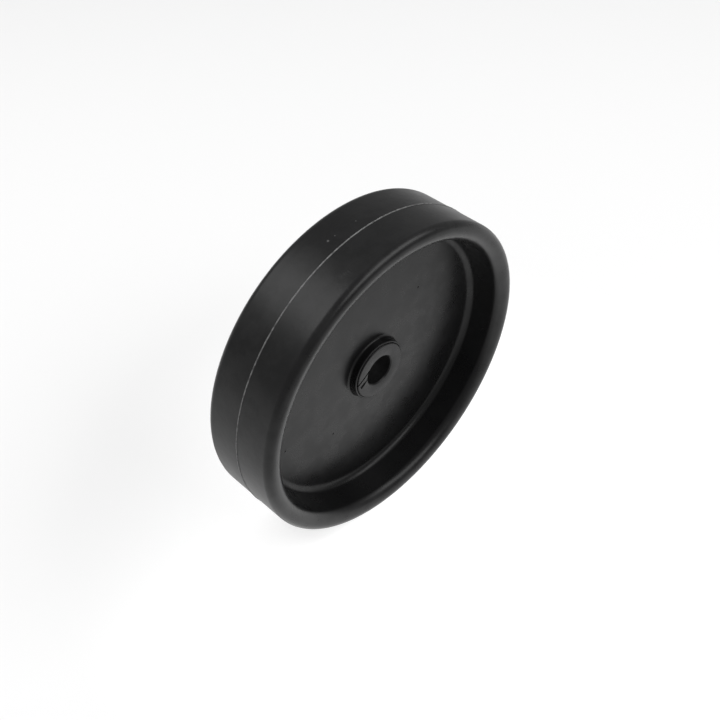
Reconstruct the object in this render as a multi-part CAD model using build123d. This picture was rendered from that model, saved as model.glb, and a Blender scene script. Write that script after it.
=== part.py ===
from build123d import *
from math import radians, tan
import os

# Anti-scalp wheel for a mower deck: a moulded plastic wheel with a deep dish on both sides,
# which turns on two split flanged bushes.
# Millimetres. Origin at the wheel's centre, axle along Y, the outer side towards -Y, Z up.

# Rim
wheel_diameter = 203.2
wheel_width = 50.2
tread_corner_radius = 4.8
lip_crest_width = 0.4

# Dish on each side, and the web between the two
rim_thickness = 14.0
dish_draft = 6.0
dish_fillet = 5.0
web_thickness = 4.0

# Hub boss: a lip round each end stands about the bush's flange
boss_draft = 2.0
boss_fillet = 1.5
boss_lip_width = 0.9
boss_edge_radius = 0.6
seat_chamfer = 0.6

# Bushes
hub_length = 15.9
axle_bore_diameter = 19.3
sleeve_wall = 3.05
flange_diameter = 36.6
flange_thickness = 2.0
flange_stand = 0.75
flange_edge_radius = 0.7
bush_mouth_chamfer = 0.5

# Open slit that lets a bush spring into the boss: straight, and nearly tangent to the bore
slit_width = 1.2
slit_angle = 210.0
slit_inset = 0.65

# Clearances
running_gap = 0.08
thrust_gap = 0.15
flange_gap = 0.3

# Sizes that follow from those above
tread_radius = wheel_diameter / 2
half_width = wheel_width / 2
half_web = web_thickness / 2
dish_floor_radius = tread_radius - rim_thickness
dish_mouth_radius = dish_floor_radius + (half_width - half_web) * tan(radians(dish_draft))
lip_edge_span = tread_radius - dish_mouth_radius - tread_corner_radius - lip_crest_width
lip_edge_radius = lip_edge_span / tan(radians(90 - dish_draft) / 2)
bush_length = hub_length / 2
axle_bore_radius = axle_bore_diameter / 2
sleeve_radius = axle_bore_radius + sleeve_wall
flange_radius = flange_diameter / 2
flange_back = bush_length - flange_thickness
seat_radius = sleeve_radius + running_gap
seat_height = flange_back - thrust_gap
recess_radius = flange_radius + flange_gap
half_boss = bush_length - flange_stand
boss_radius = recess_radius + boss_lip_width
boss_base_radius = boss_radius + (half_boss - half_web) * tan(radians(boss_draft))
slit_offset = axle_bore_radius - slit_inset


def corners(section, radius, height):
    """The corners of a section at this radius, at this height above or below the middle."""
    close = 1e-4
    return [
        corner
        for corner in section.vertices()
        if abs(corner.X - radius) < close and abs(abs(corner.Y) - height) < close
    ]


def outline(*points):
    """A closed section, with the radius along X and the height along the axle on Y."""
    return make_face(Polyline(*points, close=True))


def wheel():
    """Rim, web and boss in one moulding, turned from one section that is the same both sides."""
    upper_half = outline(
        (seat_radius, 0),
        (tread_radius, 0),
        (tread_radius, half_width),
        (dish_mouth_radius, half_width),
        (dish_floor_radius, half_web),
        (boss_base_radius, half_web),
        (boss_radius, half_boss),
        (recess_radius, half_boss),
        (recess_radius, seat_height),
        (seat_radius, seat_height),
    )
    section = (upper_half + mirror(upper_half, about=Plane.XZ)).clean()
    section = fillet(corners(section, tread_radius, half_width), tread_corner_radius)
    section = fillet(corners(section, dish_mouth_radius, half_width), lip_edge_radius)
    section = fillet(corners(section, dish_floor_radius, half_web), dish_fillet)
    section = fillet(corners(section, boss_base_radius, half_web), boss_fillet)
    section = fillet(corners(section, boss_radius, half_boss), boss_edge_radius)
    section = chamfer(corners(section, seat_radius, seat_height), seat_chamfer)
    return revolve(section, Axis.Y)


def bush_slit():
    """The space that the slit takes out of a bush, from inside the bore out past the flange."""
    reach = flange_radius + flange_thickness
    depth = bush_length * 2 + flange_thickness
    block = Box(reach, depth, slit_width, align=(Align.MIN, Align.MAX, Align.CENTER))
    return Rot(0, -slit_angle, 0) * Pos(0, flange_thickness, -slit_offset) * block


def near_bush():
    """Sleeve and flange in one piece: the flange lies in the boss's end, towards -Y."""
    section = outline(
        (axle_bore_radius, 0),
        (sleeve_radius, 0),
        (sleeve_radius, -flange_back),
        (flange_radius, -flange_back),
        (flange_radius, -bush_length),
        (axle_bore_radius, -bush_length),
    )
    section = fillet(corners(section, flange_radius, bush_length), flange_edge_radius)
    section = chamfer(corners(section, axle_bore_radius, bush_length), bush_mouth_chamfer)
    return revolve(section, Axis.Y) - bush_slit()


def far_bush():
    """The same bush, turned end for end about the upright."""
    return Rot(0, 0, 180) * near_bush()


os.makedirs("parts", exist_ok=True)
export_step(wheel(), "parts/wheel.step")
export_step(near_bush(), "parts/near_bush.step")
export_step(far_bush(), "parts/far_bush.step")
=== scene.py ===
import bpy
import bmesh
from math import cos, radians, sin, tan
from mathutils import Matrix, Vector


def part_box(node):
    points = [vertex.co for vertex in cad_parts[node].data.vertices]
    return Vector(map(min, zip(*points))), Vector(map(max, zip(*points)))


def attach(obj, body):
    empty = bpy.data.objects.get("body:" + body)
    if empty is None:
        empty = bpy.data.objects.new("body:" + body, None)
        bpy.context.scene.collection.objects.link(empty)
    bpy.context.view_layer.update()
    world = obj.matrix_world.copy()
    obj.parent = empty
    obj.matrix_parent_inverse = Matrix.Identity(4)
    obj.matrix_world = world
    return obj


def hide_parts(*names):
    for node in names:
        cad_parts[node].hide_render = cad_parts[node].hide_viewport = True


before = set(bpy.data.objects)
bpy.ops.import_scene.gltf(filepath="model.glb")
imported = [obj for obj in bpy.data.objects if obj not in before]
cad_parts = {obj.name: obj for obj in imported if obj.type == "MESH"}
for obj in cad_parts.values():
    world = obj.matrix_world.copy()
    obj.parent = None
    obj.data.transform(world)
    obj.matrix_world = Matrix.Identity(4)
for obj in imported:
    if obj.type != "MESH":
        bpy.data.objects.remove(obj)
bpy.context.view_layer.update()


# The camera stands where the photograph was taken from: in front of the wheel's outer side,
# to its left and above it. Its lens and distance give the photograph's perspective.
camera_azimuth = radians(-45.43)
camera_elevation = radians(44.55)
camera_depth = 0.5595
camera_aside = 0.0061
camera_raise = 0.0023
camera_lens = 47.57
camera_sensor = 36
camera_nearest = 0.01

back = Vector((
    sin(camera_azimuth) * cos(camera_elevation),
    -cos(camera_azimuth) * cos(camera_elevation),
    sin(camera_elevation),
))
aside = Vector((cos(camera_azimuth), sin(camera_azimuth), 0))
upward = back.cross(aside)
bpy.ops.object.camera_add(location=back * camera_depth - aside * camera_aside + upward * camera_raise)
camera = bpy.context.object
camera.rotation_mode = "QUATERNION"
camera.rotation_quaternion = (-back).to_track_quat("-Z", "Y")
camera.data.lens = camera_lens
camera.data.sensor_width = camera_sensor
camera.data.clip_start = camera_nearest
bpy.context.scene.camera = camera


# The floor is a pale matt sheet carrying a painted pool of light: its emission is strongest round the
# wheel's foot, a little in front of it, and fills in the wheel's shadow there.
tread_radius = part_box("wheel")[1].z
floor_size = 6.0
floor_white = (0.55, 0.55, 0.55, 1)
floor_painted_glow_place = (0.02, -0.05, 0)
floor_painted_glow_radius = 0.25
floor_painted_glow_edge = 0.25
floor_painted_glow_middle = 0.85


def put(tree, kind, sockets=(), **options):
    """Adds a node. A socket given as another node's output is wired, any other is set."""
    node = tree.nodes.new(kind)
    for option, value in options.items():
        setattr(node, option, value)
    for place, value in dict(sockets).items():
        if isinstance(value, bpy.types.NodeSocket):
            tree.links.new(value, node.inputs[place])
        else:
            node.inputs[place].default_value = value
    return node


def new_paint(name, colour, roughness, specular):
    """A material with a plain shader. Gives the material, its node tree and the shader."""
    paint = bpy.data.materials.new(name)
    paint.use_nodes = True
    shader = paint.node_tree.nodes["Principled BSDF"]
    shader.inputs["Base Color"].default_value = colour
    shader.inputs["Roughness"].default_value = roughness
    shader.inputs["Specular IOR Level"].default_value = specular
    return paint, paint.node_tree, shader


def ramp(tree, value, low, high, start=0, end=1):
    """Maps a value softly from one range to another."""
    node = put(tree, "ShaderNodeMapRange", {
        "Value": value, "From Min": low, "From Max": high, "To Min": start, "To Max": end,
    }, interpolation_type="SMOOTHSTEP")
    return node.outputs["Result"]


def distance(tree, coordinates, place):
    """How far a point of the surface lies from a place."""
    node = put(tree, "ShaderNodeVectorMath", {0: coordinates, 1: place}, operation="DISTANCE")
    return node.outputs["Value"]


bpy.ops.object.select_all(action="DESELECT")
bpy.ops.mesh.primitive_plane_add(size=floor_size, location=(0, 0, -tread_radius))
floor = bpy.context.object
floor.name = "floor"
floor_paint, tree, shader = new_paint("floor_acrylic", floor_white, roughness=0.9, specular=0.1)
coordinates = put(tree, "ShaderNodeTexCoord").outputs["Object"]
away = distance(tree, coordinates, floor_painted_glow_place)
# Painted light: the floor glows most at the wheel's foot and fades outward, in place of the shadow.
painted_glow = ramp(tree, away, 0, floor_painted_glow_radius, floor_painted_glow_middle, floor_painted_glow_edge)
tree.links.new(painted_glow, shader.inputs["Emission Color"])
shader.inputs["Emission Strength"].default_value = 1
floor.data.materials.append(floor_paint)


# The studio is a pale grey tent. A wide lamp overhead lights the floor. A softbox behind the
# wheel, up and to the left, draws the long highlight on its tread, and a wide one in front and
# to the right draws the thin ones along its outer lip.
tent_light = 0.42
world = bpy.data.worlds.new("studio_tent")
world.use_nodes = True
world.node_tree.nodes["Background"].inputs["Color"].default_value = (1, 1, 1, 1)
world.node_tree.nodes["Background"].inputs["Strength"].default_value = tent_light
bpy.context.scene.world = world


def soft_lamp(name, place, width, height, power):
    """A soft lamp at this place, aimed at the wheel's centre, its width level with the floor."""
    bpy.ops.object.light_add(type="AREA", location=place)
    lamp = bpy.context.object
    lamp.name = name
    lamp.data.shape = "RECTANGLE"
    lamp.data.size = width
    lamp.data.size_y = height
    lamp.data.energy = power
    lamp.visible_camera = False
    lamp.rotation_mode = "QUATERNION"
    lamp.rotation_quaternion = (-Vector(place)).to_track_quat("-Z", "Y")
    return lamp


floor_lamp = soft_lamp("floor_lamp", place=(0, 0, 2), width=2.5, height=2.5, power=32)
floor_lamp.visible_glossy = False
soft_lamp("tread_softbox", place=(-0.61, 0.8, 1.25), width=0.8, height=0.8, power=7)
soft_lamp("lip_softbox", place=(0.72, -1.26, 1.38), width=2.2, height=0.9, power=20)
bpy.context.scene.view_settings.view_transform = "Standard"


# The wheel is one black plastic moulding: a rim whose lips are fully rounded, a thin web in its
# middle, and a short boss. A lip round each end of the boss stands about the bush's flange.
half_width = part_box("wheel")[1].y
tread_corner = 0.0048
lip_crest = 0.0004
rim_thickness = 0.014
dish_draft = radians(6)
dish_fillet = 0.005
half_web = 0.002
boss_radius = 0.0195
boss_draft = radians(2)
boss_fillet = 0.0015
boss_edge = 0.0006
half_boss = 0.0072
recess_radius = 0.0186
seat_height = 0.0058
seat_radius = 0.01278
seat_chamfer = 0.0006
wheel_facets = 360
close = 5e-5

dish_floor_radius = tread_radius - rim_thickness
dish_mouth_radius = dish_floor_radius + (half_width - half_web) * tan(dish_draft)
lip_edge_span = tread_radius - dish_mouth_radius - tread_corner - lip_crest
lip_edge = lip_edge_span / tan((radians(90) - dish_draft) / 2)
boss_base_radius = boss_radius + (half_boss - half_web) * tan(boss_draft)


def pick(kind, test):
    """Selects the faces or edges whose points all pass the test, and nothing else."""
    bpy.ops.mesh.select_all(action="DESELECT")
    mesh = bpy.context.object.data
    shape = bmesh.from_edit_mesh(mesh)
    for part in getattr(shape, kind):
        if all(test(point.co) for point in part.verts):
            part.select_set(True)
    shape.select_flush_mode()
    bmesh.update_edit_mesh(mesh)


def radius_of(point):
    """How far a point lies from the axle."""
    return Vector((point.x, point.z)).length


def ring(radius, height):
    """A test for points on a circle round the axle, at this height along it."""
    return lambda point: abs(radius_of(point) - radius) < close and abs(point.y - height) < close


def pull_face(start, end):
    """Extrudes a round end face from one (radius, height) to another."""
    pick("faces", ring(*start))
    bpy.ops.mesh.extrude_region_move(TRANSFORM_OT_translate={"value": (0, end[1] - start[1], 0)})
    share = end[0] / start[0]
    bpy.ops.transform.resize(value=(share, 1, share), center_override=(0, end[1], 0))


def pull_along(corners):
    """Extrudes a round end face through all these (radius, height) corners in turn."""
    for start, end in zip(corners, corners[1:]):
        pull_face(start, end)


def open_bore(radius, near, far):
    """Takes out the two end faces and joins their rims by the bore's wall."""
    for height in (near, far):
        pick("faces", ring(radius, height))
        bpy.ops.mesh.delete(type="ONLY_FACE")
    pick("edges", lambda point: ring(radius, near)(point) or ring(radius, far)(point))
    bpy.ops.mesh.bridge_edge_loops()


def round_corner(radius, height, size, turn=radians(90), steps=6):
    """Rounds the corner ring at this radius and height to a true radius."""
    pick("edges", ring(radius, height))
    bpy.ops.mesh.bevel(offset=size * tan(turn / 2), segments=steps, profile=0.5, affect="EDGES")


def finish_shape(piece, sharp):
    """Points the faces outwards, and shades the piece smooth with its flat faces kept flat."""
    bpy.ops.mesh.select_all(action="SELECT")
    bpy.ops.mesh.normals_make_consistent(inside=False)
    bpy.ops.object.mode_set(mode="OBJECT")
    bpy.ops.object.shade_smooth_by_angle(angle=sharp)
    weighted = piece.modifiers.new("even_shading", "WEIGHTED_NORMAL")
    weighted.keep_sharp = True
    bpy.ops.object.modifier_apply(modifier=weighted.name)


def cut_away(piece, tool):
    """Cuts a tool's shape out of a piece, and takes the tool away."""
    bpy.ops.object.select_all(action="DESELECT")
    piece.select_set(True)
    bpy.context.view_layer.objects.active = piece
    cut = piece.modifiers.new("cut", "BOOLEAN")
    cut.operation = "DIFFERENCE"
    cut.solver = "EXACT"
    cut.object = tool
    bpy.ops.object.modifier_apply(modifier=cut.name)
    bpy.data.objects.remove(tool)


bpy.ops.object.select_all(action="DESELECT")
bpy.ops.mesh.primitive_cylinder_add(
    vertices=wheel_facets, radius=tread_radius, depth=2 * half_width, rotation=(radians(90), 0, 0)
)
wheel = bpy.context.object
wheel.name = "wheel_moulding"
bpy.ops.object.transform_apply(location=True, rotation=True, scale=True)
bpy.ops.object.mode_set(mode="EDIT")
for side in (-1, 1):
    pull_along((
        (tread_radius, side * half_width),
        (dish_mouth_radius, side * half_width),
        (dish_floor_radius, side * half_web),
        (boss_base_radius, side * half_web),
        (boss_radius, side * half_boss),
        (recess_radius, side * half_boss),
        (recess_radius, side * seat_height),
        (seat_radius, side * seat_height),
    ))
open_bore(seat_radius, -seat_height, seat_height)
for side in (-1, 1):
    round_corner(tread_radius, side * half_width, tread_corner, steps=10)
    round_corner(dish_mouth_radius, side * half_width, lip_edge, radians(90) - dish_draft, steps=10)
    round_corner(dish_floor_radius, side * half_web, dish_fillet, radians(90) - dish_draft, steps=8)
    round_corner(boss_base_radius, side * half_web, boss_fillet, radians(90) - boss_draft)
    round_corner(boss_radius, side * half_boss, boss_edge, radians(90) - boss_draft, steps=4)
    round_corner(seat_radius, side * seat_height, seat_chamfer, steps=1)

# The mould's two halves meet round the tread and leave a ragged line of flash, a little off the
# middle.
flash_place = 0.0004
flash_half_width = 0.00042
flash_height = 0.00028
flash_top = 0.4
flash_unevenness = 0.35
for edge in (-1, -flash_top, flash_top, 1):
    bpy.ops.mesh.select_all(action="SELECT")
    bpy.ops.mesh.bisect(plane_co=(0, flash_place + edge * flash_half_width, 0), plane_no=(0, 1, 0))
pick("edges", lambda point: (
    abs(radius_of(point) - tread_radius) < close
    and abs(point.y - flash_place) < flash_half_width / 2
))
flash_share = 1 + flash_height / tread_radius
bpy.ops.transform.resize(value=(flash_share, 1, flash_share), center_override=(0, flash_place, 0))
bpy.ops.transform.vertex_random(offset=flash_height * flash_unevenness, uniform=1, seed=5)
bpy.ops.object.mode_set(mode="OBJECT")

# The mould's ejector pins have left small round dimples in the outer side of the web.
pin_places = ((-0.0708, -0.0180), (-0.0335, -0.0335), (0.0371, 0.0379))
pin_mouth_radius = 0.00096
pin_floor_radius = 0.00048
pin_depth = 0.0003
bpy.ops.object.select_all(action="DESELECT")
for x, z in pin_places:
    bpy.ops.mesh.primitive_cone_add(
        vertices=24,
        radius1=pin_mouth_radius,
        radius2=pin_floor_radius,
        depth=2 * pin_depth,
        location=(x, -half_web, z),
        rotation=(radians(-90), 0, 0),
    )
    cut_away(wheel, bpy.context.object)
bpy.ops.object.mode_set(mode="EDIT")
finish_shape(wheel, radians(40))


def new_effect(name, inputs, outputs):
    """A node group of this object's own coordinates. Gives the group and its first nodes."""
    group = bpy.data.node_groups.new(name, "ShaderNodeTree")
    for label, value in inputs.items():
        socket = group.interface.new_socket(name=label, in_out="INPUT", socket_type="NodeSocketFloat")
        socket.default_value = value
    for label in outputs:
        group.interface.new_socket(name=label, in_out="OUTPUT", socket_type="NodeSocketFloat")
    given = group.nodes.new("NodeGroupInput").outputs
    wanted = group.nodes.new("NodeGroupOutput").inputs
    coordinates = put(group, "ShaderNodeTexCoord").outputs["Object"]
    return group, given, wanted, coordinates


def work(tree, operation, *values):
    """One step of arithmetic."""
    return put(tree, "ShaderNodeMath", dict(enumerate(values)), operation=operation).outputs["Value"]


def mix_colour(tree, share, first, second):
    """Mixes two colours by a mask."""
    return put(tree, "ShaderNodeMix", {0: share, 6: first, 7: second}, data_type="RGBA").outputs[2]


def from_axle(tree, coordinates):
    """The distance from the axle and the place along it."""
    parts = put(tree, "ShaderNodeSeparateXYZ", {0: coordinates}).outputs
    flat = put(tree, "ShaderNodeCombineXYZ", {"X": parts["X"], "Z": parts["Z"]}).outputs[0]
    radius = put(tree, "ShaderNodeVectorMath", {0: flat}, operation="LENGTH").outputs["Value"]
    return radius, parts["Y"]


# A fine grain in the plastic, and soft clouds in its gloss.
moulded_skin, given, wanted, coordinates = new_effect(
    "moulded_skin", {"Grain scale": 1400, "Cloud scale": 40}, ("Height", "Cloud")
)
grain = put(moulded_skin, "ShaderNodeTexNoise", {
    "Vector": coordinates, "Scale": given["Grain scale"], "Detail": 2,
})
cloud = put(moulded_skin, "ShaderNodeTexNoise", {
    "Vector": coordinates, "Scale": given["Cloud scale"], "Detail": 5, "Roughness": 0.6,
})
moulded_skin.links.new(grain.outputs["Fac"], wanted["Height"])
moulded_skin.links.new(ramp(moulded_skin, cloud.outputs["Fac"], 0.33, 0.67), wanted["Cloud"])

# Fine broken lines round the axle, left by the turned steel of the mould.
turned_marks, given, wanted, coordinates = new_effect(
    "turned_marks", {"Line scale": 1500, "Break scale": 25}, ("Streak",)
)
radius, along = from_axle(turned_marks, coordinates)
lines = put(turned_marks, "ShaderNodeCombineXYZ", {"X": radius, "Y": along}).outputs[0]
lines = put(turned_marks, "ShaderNodeVectorMath", {
    0: lines, 3: given["Line scale"],
}, operation="SCALE").outputs[0]
breaks = put(turned_marks, "ShaderNodeVectorMath", {
    0: coordinates, 3: given["Break scale"],
}, operation="SCALE").outputs[0]
place = put(turned_marks, "ShaderNodeVectorMath", {0: lines, 1: breaks}, operation="ADD").outputs[0]
streak = put(turned_marks, "ShaderNodeTexNoise", {"Vector": place, "Scale": 1, "Detail": 3})
turned_marks.links.new(ramp(turned_marks, streak.outputs["Fac"], 0.35, 0.65), wanted["Streak"])

# Soft patches, flecked all over, where the plastic has been rubbed.
handling_wear, given, wanted, coordinates = new_effect(
    "handling_wear", {"Patch scale": 30, "Cover": 0.4}, ("Mask",)
)
patch = put(handling_wear, "ShaderNodeTexNoise", {
    "Vector": coordinates, "Scale": given["Patch scale"], "Detail": 4, "Roughness": 0.65,
}).outputs["Fac"]
fleck = put(handling_wear, "ShaderNodeTexNoise", {
    "Vector": coordinates, "Scale": 900, "Detail": 2, "Roughness": 0.7,
}).outputs["Fac"]
threshold = work(handling_wear, "SUBTRACT", 1, given["Cover"])
patch = work(handling_wear, "SUBTRACT", patch, threshold)
patch = ramp(handling_wear, patch, 0, 0.12)
fleck = ramp(handling_wear, fleck, 0.42, 0.62)
handling_wear.links.new(work(handling_wear, "MULTIPLY", patch, fleck), wanted["Mask"])

plastic_black = (0.0048, 0.0048, 0.005, 1)
plastic_worn = (0.015, 0.015, 0.015, 1)
plastic_roughness = (0.27, 0.34)
tread_roughening = 0.1
wear_roughening = 0.08
rim_polish = 0.17
polish_unevenness = (0.65, 1.3)
relief_depth = 0.00006
relief_off_tread = 0.04
grain_share = 0.12
streak_share = 0.06
flash_pale = (0.13, 0.13, 0.13, 1)
flash_raggedness = (0.35, 1)
nick_places = ((-0.0236, 0.0081, 0.0988), (-0.0190, 0.0078, 0.0998), (-0.0042, 0.0074, 0.1015))
nick_sizes = (0.0007, 0.0004, 0.0004)
nick_paleness = 0.6

wheel_paint, tree, shader = new_paint("black_moulding", plastic_black, roughness=0.32, specular=0.19)
coordinates = put(tree, "ShaderNodeTexCoord").outputs["Object"]
radius, along = from_axle(tree, coordinates)
skin = put(tree, "ShaderNodeGroup", {"Grain scale": 1300, "Cloud scale": 75}, node_tree=moulded_skin)
cloud = skin.outputs["Cloud"]
streak = put(tree, "ShaderNodeGroup", node_tree=turned_marks).outputs["Streak"]
wear = put(tree, "ShaderNodeGroup", node_tree=handling_wear).outputs["Mask"]
on_tread = ramp(tree, radius, tread_radius - 0.0012, tread_radius - 0.0001)
worn = work(tree, "MULTIPLY", wear, on_tread)

# The flash line is coloured pale along its length, raggedly, and so are three small nicks in the
# tread.
ragged = put(tree, "ShaderNodeTexNoise", {"Vector": coordinates, "Scale": 420, "Detail": 3})
ragged = ragged.outputs["Fac"]
from_flash = work(tree, "ABSOLUTE", work(tree, "SUBTRACT", along, flash_place))
pale = ramp(tree, from_flash, flash_half_width * 0.6, flash_half_width * 1.3, 1, 0)
pale = work(tree, "MULTIPLY", pale, on_tread)
pale = work(tree, "MULTIPLY", pale, ramp(tree, ragged, 0.3, 0.6, *flash_raggedness))
for place, size in zip(nick_places, nick_sizes):
    away = distance(tree, coordinates, place)
    away = work(tree, "ADD", away, work(tree, "MULTIPLY", ragged, size))
    pale = work(tree, "MAXIMUM", pale, ramp(tree, away, size * 0.6, size * 1.8, nick_paleness, 0))
colour = mix_colour(tree, worn, plastic_black, plastic_worn)
colour = mix_colour(tree, pale, colour, flash_pale)
tree.links.new(colour, shader.inputs["Base Color"])

# The tread is a little rougher than the rest, and the whole rim has a faint, uneven polish.
rough = ramp(tree, cloud, 0, 1, *plastic_roughness)
rough = work(tree, "ADD", rough, ramp(tree, on_tread, 0, 1, 0, tread_roughening))
bare = work(tree, "MAXIMUM", worn, pale)
rough = work(tree, "ADD", rough, work(tree, "MULTIPLY", bare, wear_roughening))
tree.links.new(rough, shader.inputs["Roughness"])
polish = ramp(tree, radius, dish_mouth_radius - 0.0005, dish_mouth_radius + 0.0015, 0, rim_polish)
polish = work(tree, "MULTIPLY", polish, ramp(tree, cloud, 0, 1, *polish_unevenness))
tree.links.new(polish, shader.inputs["Coat Weight"])
shader.inputs["Coat Roughness"].default_value = 0.3
relief = work(tree, "MULTIPLY", cloud, ramp(tree, on_tread, 0, 1, relief_off_tread, 1))
relief = work(tree, "ADD", relief, work(tree, "MULTIPLY", skin.outputs["Height"], grain_share))
relief = work(tree, "ADD", relief, work(tree, "MULTIPLY", streak, streak_share))
bump = put(tree, "ShaderNodeBump", {"Strength": 1, "Distance": relief_depth, "Height": relief})
tree.links.new(bump.outputs["Normal"], shader.inputs["Normal"])
wheel.data.materials.append(wheel_paint)
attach(wheel, "wheel")
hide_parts("wheel")


# Each bush is a moulded sleeve with a flange that lies inside the boss's lip. A slit, nearly
# tangent to the bore, lets it spring into the boss. Its face is crowned, and falls to the bore.
bush_length = 0.00795
flange_radius = 0.0183
flange_back = 0.00595
flange_edge = 0.0007
crown_start = 0.0155
crown_radius = 0.032
crown_steps = 8
sleeve_radius = 0.0127
bore_radius = 0.00965
mouth_radius = 0.0103
slit_width = 0.0012
slit_angle = radians(210)
slit_offset = 0.009
pocket_start = 0.0080
pocket_length = 0.0074
pocket_width = 0.0042
pocket_offset = 0.0061
pocket_tilt = radians(9)
cutter_height = 0.003
bush_facets = 256

crown = []
for step in range(crown_steps + 1):
    reach = (crown_start - mouth_radius) * step / crown_steps
    crown.append((crown_start - reach, -bush_length + reach ** 2 / (2 * crown_radius)))
mouth = (bore_radius, crown[-1][1] + mouth_radius - bore_radius)

bpy.ops.object.select_all(action="DESELECT")
bpy.ops.mesh.primitive_cylinder_add(
    vertices=bush_facets,
    radius=flange_radius,
    depth=bush_length - flange_back,
    location=(0, -(bush_length + flange_back) / 2, 0),
    rotation=(radians(90), 0, 0),
)
near_bush = bpy.context.object
near_bush.name = "near_bush_moulding"
bpy.ops.object.transform_apply(location=True, rotation=True, scale=True)
bpy.ops.object.mode_set(mode="EDIT")
pull_along(((flange_radius, -bush_length), *crown, mouth))
pull_along((
    (flange_radius, -flange_back),
    (sleeve_radius, -flange_back),
    (sleeve_radius, 0),
    (bore_radius, 0),
))
open_bore(bore_radius, mouth[1], 0)
round_corner(flange_radius, -bush_length, flange_edge, steps=6)
bpy.ops.object.mode_set(mode="OBJECT")


def block(size, place, tilt=0):
    """A block beside the slit: its length runs out along the slit, its width across it."""
    bpy.ops.object.select_all(action="DESELECT")
    bpy.ops.mesh.primitive_cube_add(size=1, location=place, rotation=(-tilt, 0, 0), scale=size)
    bpy.ops.object.transform_apply(location=True, rotation=True, scale=True)
    bpy.context.object.rotation_euler = (0, -slit_angle, 0)
    bpy.ops.object.transform_apply(location=True, rotation=True, scale=True)
    return bpy.context.object


slit_size = (2 * flange_radius, 4 * bush_length, slit_width)
cut_away(near_bush, block(slit_size, (flange_radius, 0, -slit_offset)))

# Beside the slit the face has a shallow pocket, whose floor slopes down away from the slit.
pocket_size = (pocket_length, cutter_height, pocket_width)
pocket_depth = pocket_width / 2 * tan(pocket_tilt)
cutter_middle = pocket_depth - bush_length - cutter_height / 2
pocket_place = (pocket_start + pocket_length / 2, cutter_middle, -pocket_offset)
cut_away(near_bush, block(pocket_size, pocket_place, pocket_tilt))
bpy.ops.object.select_all(action="DESELECT")
near_bush.select_set(True)
bpy.context.view_layer.objects.active = near_bush
bpy.ops.object.mode_set(mode="EDIT")
finish_shape(near_bush, radians(30))

bush_black = (0.0065, 0.0065, 0.0068, 1)
bush_worn = (0.018, 0.018, 0.018, 1)
bush_roughness = (0.27, 0.33)
bush_relief_depth = 0.000006
bush_paint, tree, shader = new_paint("black_nylon", bush_black, roughness=0.3, specular=0.18)
skin = put(tree, "ShaderNodeGroup", {"Grain scale": 2200, "Cloud scale": 160}, node_tree=moulded_skin)
turning = put(tree, "ShaderNodeGroup", {"Line scale": 2600, "Break scale": 60}, node_tree=turned_marks)
worn = put(tree, "ShaderNodeGroup", {"Patch scale": 120}, node_tree=handling_wear).outputs["Mask"]
tree.links.new(mix_colour(tree, worn, bush_black, bush_worn), shader.inputs["Base Color"])
rough = ramp(tree, skin.outputs["Cloud"], 0, 1, *bush_roughness)
rough = work(tree, "ADD", rough, work(tree, "MULTIPLY", worn, 0.1))
tree.links.new(rough, shader.inputs["Roughness"])
relief = work(tree, "ADD", skin.outputs["Height"], turning.outputs["Streak"])
bump = put(tree, "ShaderNodeBump", {"Strength": 1, "Distance": bush_relief_depth, "Height": relief})
tree.links.new(bump.outputs["Normal"], shader.inputs["Normal"])

# Painted shade: the bore is given a darker, rougher and less glossy finish than the face, standing in
# for the shade deep inside it.
bore_shade_black = (0.004, 0.004, 0.004, 1)
bore_shade_roughness = (0.55, 0.8)
bore_shade_paint, tree, shader = new_paint("bore_painted_shade", bore_shade_black, roughness=0.7, specular=0.08)
skin = put(tree, "ShaderNodeGroup", {"Grain scale": 900, "Cloud scale": 200}, node_tree=moulded_skin)
rough = ramp(tree, skin.outputs["Cloud"], 0, 1, *bore_shade_roughness)
tree.links.new(rough, shader.inputs["Roughness"])
near_bush.data.materials.append(bush_paint)
near_bush.data.materials.append(bore_shade_paint)
bpy.ops.object.mode_set(mode="EDIT")
pick("faces", lambda point: radius_of(point) < bore_radius + close)
near_bush.active_material_index = 1
bpy.ops.object.material_slot_assign()
bpy.ops.object.mode_set(mode="OBJECT")

bpy.ops.object.select_all(action="DESELECT")
near_bush.select_set(True)
bpy.ops.object.duplicate()
far_bush = bpy.context.object
far_bush.name = "far_bush_moulding"
far_bush.rotation_euler = (0, 0, radians(180))
bpy.ops.object.transform_apply(location=True, rotation=True, scale=True)
for piece, node in ((near_bush, "near_bush"), (far_bush, "far_bush")):
    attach(piece, "bushes")
    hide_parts(node)
